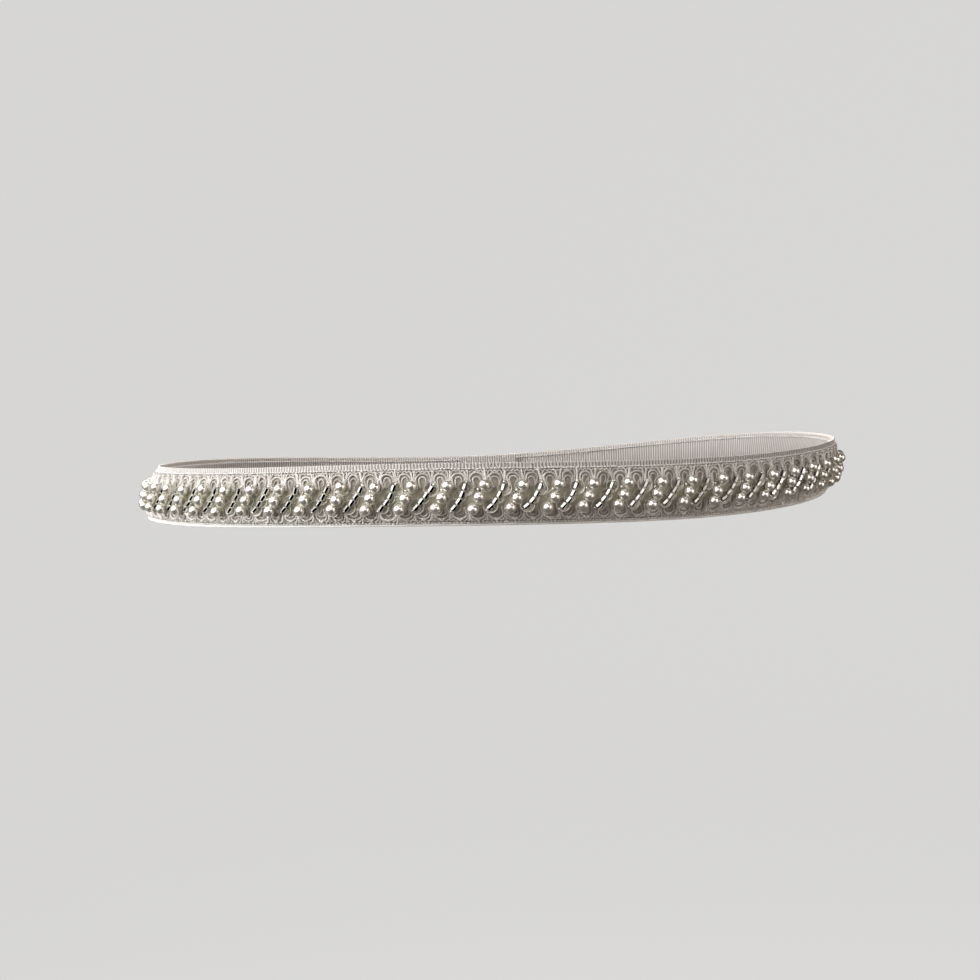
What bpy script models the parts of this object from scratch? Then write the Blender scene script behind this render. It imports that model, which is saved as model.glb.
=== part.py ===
"""A bridal sash, fastened and held open as it is when worn round a waist.

The sash is one length of grosgrain ribbon that laps at the centre back, where a flat
hook and bar close it. A beaded braid is sewn along the ribbon's outer face, all the
way round. Pearls in slanting rows of three, and the strands of bugle beads between
them, are raised in the braid's outer face over a plain inside.

Metres, +Z up. The wearer's front faces -Y. The origin is the centre of the waist, at
half the ribbon's height. Lengths along the sash are measured from the centre front,
positive towards +X, on the ribbon's outer face.
"""
import math

import bpy
import numpy as np
from mathutils import Vector
from mathutils.geometry import delaunay_2d_cdt

MM = 0.001

# The waist, to the ribbon's outer face. A fullness of 2 is an ellipse; the front is a
# little keener and the back a little flatter.
WAIST_HALF_BREADTH = 145.3 * MM
FRONT_REACH = 105.6 * MM
BACK_REACH = 99.0 * MM
FRONT_FULLNESS = 1.86
BACK_FULLNESS = 2.35
WAIST_SAMPLES = 7200

# The worn sash rides up and dips a little on its way round.
# Columns: waves in one round, rise at the centre front, rise a quarter wave to its +X.
WANDER = (
    (2, -1.75 * MM, -1.18 * MM),
    (3, 1.40 * MM, -0.33 * MM),
)

# The waist leans towards +X as it rises, so the sash's face leans out on the +X side and
# in on the other: millimetres sideways for each millimetre up.
LEAN = 0.22

# Grosgrain ribbon.
RIBBON_WIDTH = 22.2 * MM
RIBBON_WALL = 1.05 * MM
LAP = 25.4 * MM
LAP_EASE = 25.0 * MM
OVER_RISE = 2.05 * MM
UNDER_DIP = 1.5 * MM
SEAM_GAP = 0.31 * MM

# Beaded braid, and where it lies on the ribbon.
REPEAT = 12.7 * MM
REPEATS = 61
MIDDLE_REPEAT = 29
MIDDLE_PEARL = -4.3 * MM
BRAID_TOP = 8.8 * MM
BRAID_BOTTOM = -9.9 * MM
BRAID_EDGE_WALL = 1.0 * MM
BRAID_CROWN = 1.0 * MM
SCALLOP_DEPTH = 0.5 * MM
SCALLOPS = 2

# Pearls, three to a repeat on a slant. Columns: along the sash, up from the bead line.
BEAD_LINE = -1.0 * MM
PEARL_RADIUS = 2.0 * MM
PEARL_SINK = 0.1 * MM
PEARL_SIDES = 7
PEARL_RINGS = (35.0, 68.0)
PEARL_FOOT = 2.03 * MM
TRIO = (
    (2.0 * MM, 4.2 * MM),
    (0.0, 0.0),
    (-2.2 * MM, -3.7 * MM),
)

# A strand of four bugle beads lies half a repeat from each trio.
STRAND_LENGTH = 10.4 * MM
STRAND_WIDTH = 1.7 * MM
STRAND_HEIGHT = 1.6 * MM
STRAND_SLANT = math.radians(50.0)
STRAND_TIP = 0.5 * MM

# Flat hook and bar between the lapped ends.
METAL = 0.45 * MM
HOOK_WIDTH = 5.4 * MM
HOOK_SHANK = 5.0 * MM
HOOK_BEND = 3.2 * MM
HOOK_TONGUE = 1.2 * MM
BEND_STEPS = 8
BAR_WIDTH = 1.6 * MM
BAR_PLACE = 2.3 * MM
BAR_SPAN = 3.6 * MM
BAR_SLOPE = 0.8 * MM
BAR_FOOT = 2.6 * MM

RIBBON_COLOUR = (0.86, 0.85, 0.84)
BRAID_COLOUR = (0.80, 0.78, 0.70)
METAL_COLOUR = (0.62, 0.62, 0.64)


def clear_scene():
    for thing in list(bpy.data.objects):
        bpy.data.objects.remove(thing, do_unlink=True)


def make_material(name, colour, roughness, metallic):
    material = bpy.data.materials.new(name)
    material.use_nodes = True
    shader = material.node_tree.nodes["Principled BSDF"]
    shader.inputs["Base Color"].default_value = (*colour, 1.0)
    shader.inputs["Roughness"].default_value = roughness
    shader.inputs["Metallic"].default_value = metallic
    return material


def add_object(name, points, faces, material, sharp_angle):
    mesh = bpy.data.meshes.new(name)
    mesh.from_pydata([tuple(point) for point in points], [], faces)
    mesh.materials.append(material)
    mesh.shade_smooth()
    mesh.set_sharp_from_angle(angle=math.radians(sharp_angle))
    thing = bpy.data.objects.new(name, mesh)
    bpy.context.scene.collection.objects.link(thing)
    return thing


def ease(share):
    """Go smoothly from 0 to 1 as the share does."""
    held = np.clip(share, 0.0, 1.0)
    return held * held * (3.0 - 2.0 * held)


class WaistLine:
    """The closed line of the ribbon's outer face, by the length along it."""

    def __init__(self):
        turn = np.linspace(-math.pi, math.pi, WAIST_SAMPLES + 1)
        in_front = np.cos(turn) >= 0.0
        reach = np.where(in_front, FRONT_REACH, BACK_REACH)
        fullness = np.where(in_front, FRONT_FULLNESS, BACK_FULLNESS)
        forward = (np.abs(np.cos(turn)) / reach) ** fullness
        sideways = (np.abs(np.sin(turn)) / WAIST_HALF_BREADTH) ** fullness
        radius = (forward + sideways) ** (-1.0 / fullness)
        self.x = radius * np.sin(turn)
        self.y = -radius * np.cos(turn)
        steps = np.hypot(np.diff(self.x), np.diff(self.y))
        travelled = np.concatenate([[0.0], np.cumsum(steps)])
        self.length = float(travelled[-1])
        self.travel = travelled - self.length / 2.0
        self.out_x = np.gradient(self.y, self.travel)
        self.out_y = -np.gradient(self.x, self.travel)

    def rise(self, travel):
        """How far the worn sash rides above its level line."""
        turn = 2.0 * math.pi * travel / self.length
        total = 0.0
        for waves, at_front, at_side in WANDER:
            total = total + at_front * np.cos(waves * turn) + at_side * np.sin(waves * turn)
        return total

    def place(self, travel, out, height):
        """World points from lengths along the sash, out from its line and up."""
        travel = np.asarray(travel, dtype=float)
        half = self.length / 2.0
        wrapped = (travel + half) % self.length - half
        x = np.interp(wrapped, self.travel, self.x)
        y = np.interp(wrapped, self.travel, self.y)
        out_x = np.interp(wrapped, self.travel, self.out_x)
        out_y = np.interp(wrapped, self.travel, self.out_y)
        size = np.hypot(out_x, out_y)
        scale = (out + LEAN * height * out_x / size) / size
        columns = [x + out_x * scale, y + out_y * scale, height + self.rise(travel)]
        return np.stack(np.broadcast_arrays(*columns), axis=-1)


def ribbon_offset(line, travel):
    """How far the ribbon's face stands off the line: out on the over end, in on the under."""
    half = line.length / 2.0
    past_over = travel - (half - LAP / 2.0 - LAP_EASE)
    past_under = -travel - (half - LAP / 2.0 - LAP_EASE)
    return OVER_RISE * ease(past_over / LAP_EASE) - UNDER_DIP * ease(past_under / LAP_EASE)


def braid_start():
    """Where the braid begins, half a repeat before its first trio of pearls."""
    return MIDDLE_PEARL - (MIDDLE_REPEAT + 0.5) * REPEAT


def rim_faces(outer_rim, inner_rim):
    """Faces that close a wall's rim, given as point numbers against the clock from outside."""
    faces = []
    for number, outer_here in enumerate(outer_rim):
        following = (number + 1) % len(outer_rim)
        faces.append((outer_rim[following], outer_here, inner_rim[number], inner_rim[following]))
    return faces


def make_ribbon(line, material):
    """One wall of cloth, from the under end round the front to the over end."""
    half = line.length / 2.0
    first = -half - LAP / 2.0
    last = half + LAP / 2.0
    step = REPEAT / 2.0
    start = braid_start()
    before = math.floor((start - first) / step)
    under_braid = start + step * np.arange(-before, 2 * REPEATS + 1)
    stations = np.concatenate([[first], under_braid, [last]])
    heights = (-RIBBON_WIDTH / 2.0, 0.0, RIBBON_WIDTH / 2.0)
    offset = ribbon_offset(line, stations)
    outer = np.stack([line.place(stations, offset, height) for height in heights], axis=1)
    inner = np.stack(
        [line.place(stations, offset - RIBBON_WALL, height) for height in heights], axis=1
    )
    rows = len(heights)
    columns = len(stations)
    inner_first = rows * columns
    points = np.concatenate([outer.reshape(-1, 3), inner.reshape(-1, 3)])
    faces = []
    for column in range(columns - 1):
        for row in range(rows - 1):
            corner = column * rows + row
            beyond = corner + rows
            faces.append((corner, beyond, beyond + 1, corner + 1))
            faces.append(tuple(inner_first + n for n in (corner + 1, beyond + 1, beyond, corner)))
    bottom = [column * rows for column in range(columns)]
    far_end = [(columns - 1) * rows + row for row in range(1, rows)]
    top = [column * rows + rows - 1 for column in reversed(range(columns - 1))]
    near_end = [row for row in reversed(range(1, rows - 1))]
    rim = bottom + far_end + top + near_end
    faces.extend(rim_faces(rim, [inner_first + number for number in rim]))
    return add_object("ribbon_band", points, faces, material, 40.0)


class FlatPattern:
    """The braid's outer face laid flat: points along and up, how far each stands out, and
    the edges that the triangles have to keep."""

    def __init__(self):
        self.flat = []
        self.out = []
        self.edges = []

    def add(self, along, up, out):
        self.flat.append((along, up))
        self.out.append(out)
        return len(self.flat) - 1

    def add_loop(self, numbers):
        for number, here in enumerate(numbers):
            self.edges.append((here, numbers[(number + 1) % len(numbers)]))


def braid_face(up):
    """How far the domed braid's face stands off the ribbon at a height."""
    middle = (BRAID_TOP + BRAID_BOTTOM) / 2.0
    half_width = (BRAID_TOP - BRAID_BOTTOM) / 2.0
    share = (up - middle) / half_width
    return SEAM_GAP + BRAID_EDGE_WALL + BRAID_CROWN * (1.0 - share * share)


def add_outline(pattern, start):
    """The braid's rim with its scallops, against the clock from the lower near corner."""
    steps = 2 * SCALLOPS * REPEATS
    stride = REPEAT / (2 * SCALLOPS)
    lower = []
    upper = []
    for number in range(steps + 1):
        along = start + number * stride
        dip = SCALLOP_DEPTH * (number % 2 == 0)
        low = BRAID_BOTTOM + dip
        high = BRAID_TOP - dip
        lower.append(pattern.add(along, low, braid_face(low)))
        upper.append(pattern.add(along, high, braid_face(high)))
    outline = lower + upper[::-1]
    pattern.add_loop(outline)
    return outline


def add_pearl(pattern, along, up):
    """A pearl as rings of points round its crown, down to a foot on the braid."""
    centre_out = braid_face(up) + PEARL_RADIUS - PEARL_SINK
    rings = []
    for tilt in PEARL_RINGS:
        spread = PEARL_RADIUS * math.sin(math.radians(tilt))
        rings.append((spread, centre_out + PEARL_RADIUS * math.cos(math.radians(tilt))))
    rings.append((PEARL_FOOT, None))
    pattern.add(along, up, centre_out + PEARL_RADIUS)
    for spread, out in rings:
        numbers = []
        for side in range(PEARL_SIDES):
            angle = 2.0 * math.pi * side / PEARL_SIDES
            x = along + spread * math.cos(angle)
            z = up + spread * math.sin(angle)
            numbers.append(pattern.add(x, z, braid_face(z) if out is None else out))
        pattern.add_loop(numbers)


def add_strand(pattern, along, up):
    """A strand of bugle beads as one ridge with sloping sides."""
    run = Vector((math.cos(STRAND_SLANT), math.sin(STRAND_SLANT)))
    side = Vector((-run.y, run.x)) * (STRAND_WIDTH / 2.0)
    middle = Vector((along, up))
    reach = STRAND_LENGTH / 2.0
    foot = [
        middle - run * reach - side,
        middle + run * reach - side,
        middle + run * reach + side,
        middle - run * reach + side,
    ]
    numbers = [pattern.add(point.x, point.y, braid_face(point.y)) for point in foot]
    pattern.add_loop(numbers)
    crest = []
    for way in (-1.0, 1.0):
        point = middle + run * (way * (reach - STRAND_TIP))
        crest.append(pattern.add(point.x, point.y, braid_face(point.y) + STRAND_HEIGHT))
    pattern.edges.append(tuple(crest))


def make_braid(line, material):
    """The beaded braid: its outer face from the flat pattern, over a plain inside."""
    start = braid_start()
    pattern = FlatPattern()
    outline = add_outline(pattern, start)
    for number in range(REPEATS):
        trio_middle = start + (number + 0.5) * REPEAT
        for along, up in TRIO:
            add_pearl(pattern, trio_middle + along, BEAD_LINE + up)
        if number > 0:
            add_strand(pattern, trio_middle - REPEAT / 2.0, BEAD_LINE)

    flat = [Vector((along / MM, up / MM)) for along, up in pattern.flat]
    result = delaunay_2d_cdt(flat, pattern.edges, [], 1, 1e-5)
    triangles = result[2]
    sources = [origins[0] for origins in result[3]]
    outer_faces = [tuple(sources[corner] for corner in triangle) for triangle in triangles]

    along = np.array([point[0] for point in pattern.flat])
    up = np.array([point[1] for point in pattern.flat])
    out = np.array(pattern.out)
    offset = ribbon_offset(line, along)
    outer = line.place(along, offset + out, up)
    inner = line.place(along[outline], offset[outline] + SEAM_GAP, up[outline])
    inner_first = len(outer)
    count = len(outline)
    inner_faces = []
    for number in range(count // 2 - 1):
        low = inner_first + number
        high = inner_first + count - 1 - number
        inner_faces.append((low, high, high - 1, low + 1))
    inner_rim = list(range(inner_first, inner_first + count))
    faces = outer_faces + inner_faces + rim_faces(outline, inner_rim)
    return add_object("beaded_braid", np.concatenate([outer, inner]), faces, material, 60.0)


def thicken(path, thickness):
    """The outline of a strip of metal bent along a path, both in one plane."""
    left = []
    right = []
    for number, point in enumerate(path):
        before = path[max(number - 1, 0)]
        after = path[min(number + 1, len(path) - 1)]
        directions = []
        for first, second in ((before, point), (point, after)):
            if first != second:
                step = Vector(second) - Vector(first)
                directions.append(step.normalized())
        run = sum(directions, Vector((0.0, 0.0))).normalized()
        miter = run.dot(directions[0])
        side = Vector((-run.y, run.x)) * (thickness / 2.0 / miter)
        left.append(Vector(point) + side)
        right.append(Vector(point) - side)
    return left, right


def bent_strip(name, path, thickness, width, to_world, material):
    """A strip of metal of one width, bent along a path.

    to_world turns a point of the path's plane and a place across it into a world point.
    """
    left, right = thicken(path, thickness)
    count = len(path)
    points = []
    for across in (-width / 2.0, width / 2.0):
        for point in left + right:
            points.append(to_world(point.x, point.y, across))
    low_left, low_right, high_left, high_right = 0, count, 2 * count, 3 * count
    faces = []
    for n in range(count - 1):
        faces.append((low_left + n, low_left + n + 1, low_right + n + 1, low_right + n))
        faces.append((high_left + n, high_right + n, high_right + n + 1, high_left + n + 1))
        faces.append((low_left + n, high_left + n, high_left + n + 1, low_left + n + 1))
        faces.append((low_right + n, low_right + n + 1, high_right + n + 1, high_right + n))
    end = count - 1
    faces.append((low_left, low_right, high_right, high_left))
    faces.append((low_left + end, high_left + end, high_right + end, low_right + end))
    return add_object(name, points, faces, material, 30.0)


def make_closure(line, material):
    """The hook under the over end, and the bar on the under end that it holds."""
    half = line.length / 2.0
    face = line.place(half, -UNDER_DIP, BEAD_LINE)
    gap_across = OVER_RISE - RIBBON_WALL + UNDER_DIP
    tongue = SEAM_GAP + METAL / 2.0
    plate = gap_across - SEAM_GAP - METAL / 2.0
    bend = (plate - tongue) / 2.0

    hook_path = [(-HOOK_SHANK, plate)]
    for step in range(BEND_STEPS + 1):
        angle = math.pi / 2.0 - math.pi * step / BEND_STEPS
        along = HOOK_BEND + bend * math.cos(angle)
        hook_path.append((along, tongue + bend + bend * math.sin(angle)))
    hook_path.append((-HOOK_TONGUE, tongue))

    def hook_place(along, out, across):
        return face[0] - along, face[1] + out, face[2] - across

    bridge = (plate + tongue) / 2.0
    bar_path = []
    for way in (-1.0, 1.0):
        ground = (way * (BAR_SPAN + BAR_SLOPE), tongue)
        stations = [(way * (BAR_SPAN + BAR_SLOPE + BAR_FOOT), tongue), ground]
        stations.append((way * BAR_SPAN, bridge))
        bar_path.extend(stations if way < 0.0 else reversed(stations))

    def bar_place(across, out, along):
        return face[0] - BAR_PLACE - along, face[1] + out, face[2] + across

    hook = bent_strip("closure_hook", hook_path, METAL, HOOK_WIDTH, hook_place, material)
    bar = bent_strip("closure_bar", bar_path, METAL, BAR_WIDTH, bar_place, material)
    return hook, bar


def main():
    clear_scene()
    line = WaistLine()
    ribbon_cloth = make_material("grosgrain_white", RIBBON_COLOUR, 0.6, 0.0)
    braid_cloth = make_material("beaded_braid_ivory", BRAID_COLOUR, 0.4, 0.0)
    metal = make_material("closure_metal", METAL_COLOUR, 0.35, 1.0)
    make_ribbon(line, ribbon_cloth)
    make_braid(line, braid_cloth)
    make_closure(line, metal)
    print("waist line", round(line.length / MM, 1), "mm")


main()
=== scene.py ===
# %% [markdown]
# # A pearl-beaded bridal sash
#
# This lesson dresses a plain solid model of a bridal sash. The sash is a white grosgrain
# ribbon, worn round the waist, with a beaded braid sewn along it. A maker works on it
# while it lies flat on the table, and it is only rolled round the waist at the end. The
# lesson does the same: every piece is modelled flat, in three numbers - how far along
# the sash, how far out from the ribbon's face, how far up - and one function rolls it
# round the waist. It starts with the solid model, which fixes every size and place.

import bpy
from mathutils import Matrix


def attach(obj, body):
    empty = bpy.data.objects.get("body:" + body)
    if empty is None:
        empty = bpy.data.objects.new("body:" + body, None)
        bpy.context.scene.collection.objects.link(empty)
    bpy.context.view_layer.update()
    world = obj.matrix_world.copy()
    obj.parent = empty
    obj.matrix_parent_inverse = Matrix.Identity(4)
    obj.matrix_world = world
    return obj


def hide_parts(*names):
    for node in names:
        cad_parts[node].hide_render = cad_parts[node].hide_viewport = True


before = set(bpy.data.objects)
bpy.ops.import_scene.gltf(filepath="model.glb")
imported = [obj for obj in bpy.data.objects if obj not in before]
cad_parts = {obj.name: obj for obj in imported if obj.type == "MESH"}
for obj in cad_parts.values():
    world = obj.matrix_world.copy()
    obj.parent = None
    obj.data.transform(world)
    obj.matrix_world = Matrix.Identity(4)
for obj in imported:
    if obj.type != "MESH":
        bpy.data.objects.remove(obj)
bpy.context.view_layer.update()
print("solid pieces:", sorted(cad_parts))

# %% Modules and units
import math

import bpy
import numpy as np
from mathutils import Matrix, Vector

MM = 0.001
TURN = 2.0 * math.pi
rng = np.random.default_rng(7)
print("lengths are written in metres, so 22.2 * MM is", round(22.2 * MM, 4))

# %% [markdown]
# ## The sizes that everything follows
#
# Two standard sizes set the scale of a sash like this one: the ribbon is 22.2 mm (7/8
# inch) wide and the pearls are 4 mm. The beading repeats every 12.7 mm (half an inch).
# The lengths below are the solid model's own, so that each piece lands on its solid.

# %% Sizes of the sash
WAIST_HALF_BREADTH = 145.3 * MM
FRONT_REACH = 105.6 * MM
BACK_REACH = 99.0 * MM
FRONT_FULLNESS = 1.86
BACK_FULLNESS = 2.35
# Columns: waves in one round, rise at the centre front, rise a quarter wave to its +X.
WANDER = (
    (2, -1.75 * MM, -1.18 * MM),
    (3, 1.40 * MM, -0.33 * MM),
)
# Sideways towards +X for each length up.
LEAN = 0.22
RIBBON_WALL = 1.05 * MM
LAP = 25.4 * MM
LAP_EASE = 25.0 * MM
OVER_RISE = 2.05 * MM
UNDER_DIP = 1.5 * MM
SEAM_GAP = 0.31 * MM
REPEAT = 12.7 * MM
REPEATS = 61
MIDDLE_REPEAT = 29
MIDDLE_PEARL = -4.3 * MM
BRAID_TOP = 8.8 * MM
BRAID_BOTTOM = -9.9 * MM
BRAID_EDGE_WALL = 1.0 * MM
BRAID_CROWN = 1.0 * MM
BEAD_LINE = -1.0 * MM
PEARL_RADIUS = 2.0 * MM
# Columns: a pearl's place along the sash and up from the bead line.
TRIO = ((2.0 * MM, 4.2 * MM), (0.0, 0.0), (-2.2 * MM, -3.7 * MM))
STRAND_SLANT = math.radians(50.0)

BRAID_START = MIDDLE_PEARL - (MIDDLE_REPEAT + 0.5) * REPEAT
BRAID_LENGTH = REPEATS * REPEAT
BRAID_END = BRAID_START + BRAID_LENGTH
print("the braid is", round(BRAID_LENGTH / MM, 1), "mm long, in", REPEATS, "repeats")

# %% [markdown]
# ## The line of the waist
#
# Seen from above, the worn sash is a rounded oval: a little keener than an ellipse at the
# front and a little flatter at the back. A superellipse gives both with one formula. The
# line is sampled finely once, and numpy's interp then finds any place along it by length.

# %% Waist line
class WaistLine:
    """The closed line of the ribbon's outer face, by the length along it."""

    def __init__(self, samples=7200):
        turn = np.linspace(-math.pi, math.pi, samples + 1)
        in_front = np.cos(turn) >= 0.0
        reach = np.where(in_front, FRONT_REACH, BACK_REACH)
        fullness = np.where(in_front, FRONT_FULLNESS, BACK_FULLNESS)
        forward = (np.abs(np.cos(turn)) / reach) ** fullness
        sideways = (np.abs(np.sin(turn)) / WAIST_HALF_BREADTH) ** fullness
        radius = (forward + sideways) ** (-1.0 / fullness)
        self.x = radius * np.sin(turn)
        self.y = -radius * np.cos(turn)
        steps = np.hypot(np.diff(self.x), np.diff(self.y))
        travelled = np.concatenate([[0.0], np.cumsum(steps)])
        self.length = float(travelled[-1])
        self.travel = travelled - self.length / 2.0
        self.out_x = np.gradient(self.y, self.travel)
        self.out_y = -np.gradient(self.x, self.travel)

    def rise(self, travel):
        """How far the worn sash rides above its level line."""
        turn = TURN * travel / self.length
        total = 0.0
        for waves, at_front, at_side in WANDER:
            total = total + at_front * np.cos(waves * turn) + at_side * np.sin(waves * turn)
        return total

    def outward(self, travel):
        """The direction straight out of the waist, as x and y."""
        wrapped = (travel + self.length / 2.0) % self.length - self.length / 2.0
        out_x = np.interp(wrapped, self.travel, self.out_x)
        out_y = np.interp(wrapped, self.travel, self.out_y)
        size = np.hypot(out_x, out_y)
        return out_x / size, out_y / size

    def place(self, travel, out, up):
        """World points from lengths along, out of and up the sash's line."""
        travel = np.asarray(travel, dtype=float)
        wrapped = (travel + self.length / 2.0) % self.length - self.length / 2.0
        x = np.interp(wrapped, self.travel, self.x)
        y = np.interp(wrapped, self.travel, self.y)
        out_x, out_y = self.outward(travel)
        out = out + LEAN * up * out_x
        columns = [x + out_x * out, y + out_y * out, up + self.rise(travel)]
        return np.stack(np.broadcast_arrays(*columns), axis=-1)


line = WaistLine()
print("the waist line is", round(line.length / MM, 1), "mm round")

# %% [markdown]
# ## Rolling flat work round the waist
#
# At the centre back the two ends lap: the over end eases out and the under end eases in,
# to leave room for the hook and bar between them. `roll` adds that easing, so whatever is
# modelled flat follows the ribbon there too. Beads are hard and must not bend with the
# cloth, so `bead_frames` gives each bead its own upright axes instead.

# %% Rolling cloth and standing beads
def ease(share):
    """Go smoothly from 0 to 1 as the share does."""
    held = np.clip(share, 0.0, 1.0)
    return held * held * (3.0 - 2.0 * held)


def ribbon_offset(travel):
    """How far the ribbon's face stands off the waist line near its lapped ends."""
    edge = line.length / 2.0 - LAP / 2.0 - LAP_EASE
    over = ease((travel - edge) / LAP_EASE)
    under = ease((-travel - edge) / LAP_EASE)
    return OVER_RISE * over - UNDER_DIP * under


def roll(flat):
    """Turn flat points (along, out, up) into world points on the worn sash."""
    flat = np.asarray(flat, dtype=float)
    along = flat[..., 0]
    return line.place(along, flat[..., 1] + ribbon_offset(along), flat[..., 2])


def bead_frames(centres):
    """World centres of beads, and each one's axes: along the sash, out of it, and up."""
    centres = np.asarray(centres, dtype=float)
    out_x, out_y = line.outward(centres[:, 0])
    none = np.zeros_like(out_x)
    lean = LEAN * out_x
    length = np.hypot(1.0, lean)[:, None]
    along = np.stack([-out_y, out_x, none], axis=1)
    out = np.stack([out_x, out_y, -lean], axis=1) / length
    up = np.stack([out_x * lean, out_y * lean, none + 1.0], axis=1) / length
    return roll(centres), np.stack([along, out, up], axis=1)


ribbon_points = np.array([v.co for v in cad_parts["ribbon_band"].data.vertices])
half_turn = line.length / 2.0
ribbon_ends = roll([[half_turn + LAP / 2.0, 0.0, 0.0], [-half_turn - LAP / 2.0, 0.0, 0.0]])
nearest = [np.linalg.norm(ribbon_points - end, axis=1).min() for end in ribbon_ends]
print("ribbon ends miss the solid's by", [round(float(n) / MM, 3) for n in nearest], "mm")

# %% [markdown]
# ## Making meshes
#
# Every piece is a list of points and a list of faces, and `add_piece` turns them into an
# object that belongs to the sash. `grid_faces` and `end_caps` join rows of points into a
# closed skin. `tube` draws a cord along a path and `lathe` turns a ring, so a whole braid
# needs only these two shapes. `copy_beads` sets one hard shape in each bead's own axes.
# Joining the copies in one mesh keeps hundreds of beads light.

# %% Pieces and their faces
counts = {}


def add_piece(
    name, points, faces, material, smooth_angle=None, values=None, face_values=None
):
    """One object of the sash, from world points, with named numbers of points or faces.

    It is shaded smooth, but for edges sharper than smooth_angle, where that is given.
    """
    mesh = bpy.data.meshes.new(name)
    mesh.from_pydata(np.asarray(points).tolist(), [], faces)
    mesh.shade_smooth()
    if smooth_angle is not None:
        mesh.set_sharp_from_angle(angle=math.radians(smooth_angle))
    for domain, table in (("POINT", values), ("FACE", face_values)):
        for key, numbers in (table or {}).items():
            attribute = mesh.attributes.new(key, "FLOAT", domain)
            attribute.data.foreach_set("value", np.asarray(numbers, dtype=np.float32).ravel())
    mesh.materials.append(material)
    piece = bpy.data.objects.new(name, mesh)
    bpy.context.scene.collection.objects.link(piece)
    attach(piece, "root")
    counts[name] = sum(len(face) - 2 for face in faces)
    print(name, "has", counts[name], "triangles")
    return piece


def repeat_faces(faces, count, stride):
    """The faces of a template of stride points, for a number of copies."""
    return [tuple(n + copy * stride for n in face) for copy in range(count) for face in faces]


def grid_faces(columns, rows, wrap_rows=False, wrap_columns=False):
    """Faces of a grid of points, stored column by column."""
    faces = []
    for column in range(columns if wrap_columns else columns - 1):
        beside = (column + 1) % columns
        for row in range(rows if wrap_rows else rows - 1):
            above = (row + 1) % rows
            faces.append((
                column * rows + row, beside * rows + row,
                beside * rows + above, column * rows + above,
            ))
    return faces


def end_caps(columns, rows):
    """The two ends of a tube of points, stored column by column."""
    last = (columns - 1) * rows
    return [tuple(range(rows)), tuple(last + row for row in reversed(range(rows)))]


# %% Copies of a hard shape
def copy_beads(template, faces, centres, turns, tilts, sizes=1.0):
    """Copies of a hard template at bead centres.

    The template's three axes are its string, outward and sideways. A turn swings the
    string up from the sash's own direction, and a tilt lifts it out of the sash.
    """
    origins, axes = bead_frames(centres)
    along, out, up = axes[:, 0], axes[:, 1], axes[:, 2]
    turns = np.broadcast_to(turns, len(origins))[:, None]
    tilts = np.broadcast_to(tilts, len(origins))[:, None]
    flat_string = np.cos(turns) * along + np.sin(turns) * up
    side = np.cos(turns) * up - np.sin(turns) * along
    string = np.cos(tilts) * flat_string + np.sin(tilts) * out
    outward = np.cos(tilts) * out - np.sin(tilts) * flat_string
    basis = np.stack([string, outward, side], axis=1)
    basis = basis * np.broadcast_to(sizes, len(origins))[:, None, None]
    points = origins[:, None, :] + np.einsum("pk,nkc->npc", template, basis)
    return points.reshape(-1, 3), repeat_faces(faces, len(origins), len(template))


# %% Tubes and turned rings
def tube(path, radius, sides):
    """A round cord along a flat path, as points in columns, one column a path point."""
    path = np.asarray(path, dtype=float)
    run = np.gradient(path, axis=0)
    run /= np.linalg.norm(run, axis=1)[:, None]
    out = np.array([0.0, 1.0, 0.0])
    side = np.cross(run, out)
    side /= np.linalg.norm(side, axis=1)[:, None]
    lift = np.cross(side, run)
    angle = TURN * np.arange(sides) / sides
    ring = np.cos(angle)[None, :, None] * lift[:, None, :]
    ring = ring + np.sin(angle)[None, :, None] * side[:, None, :]
    return path[:, None, :] + radius * ring


def lathe(profile, sides):
    """A ring turned about the string axis, from a closed profile of (along, radius)."""
    angle = TURN * np.arange(sides) / sides
    columns = []
    for turn in angle:
        for along, radius in profile:
            columns.append((along, radius * math.cos(turn), radius * math.sin(turn)))
    faces = grid_faces(sides, len(profile), wrap_rows=True, wrap_columns=True)
    return np.array(columns), faces


print("a six-sided ring of four points has", len(lathe([(0.0, 1.0)] * 4, 6)[1]), "faces")

# %% [markdown]
# ## Writing a material as sums
#
# Cycles builds a material from nodes, which are hard to read as code. `Wire` wraps one
# output of a node and answers to +, -, * and /, so that a formula reads as a formula and
# the Math nodes are added behind it. `Finish` is one material; its `node` method adds
# any other node from its type, its settings and what feeds it.

# %% Wires
class Wire:
    """One output of a shader node, for maths written as Python."""

    def __init__(self, finish, socket):
        self.finish = finish
        self.socket = socket

    def maths(self, operation, *values):
        return self.finish.node("ShaderNodeMath", {"operation": operation}, dict(enumerate(values)))

    def __add__(self, other):
        return self.maths("ADD", self, other)

    def __radd__(self, other):
        return self.maths("ADD", other, self)

    def __sub__(self, other):
        return self.maths("SUBTRACT", self, other)

    def __rsub__(self, other):
        return self.maths("SUBTRACT", other, self)

    def __mul__(self, other):
        return self.maths("MULTIPLY", self, other)

    def __rmul__(self, other):
        return self.maths("MULTIPLY", other, self)

    def __truediv__(self, other):
        return self.maths("DIVIDE", self, other)

    def sine(self):
        return self.maths("SINE", self)

    def magnitude(self):
        return self.maths("ABSOLUTE", self)


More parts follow.
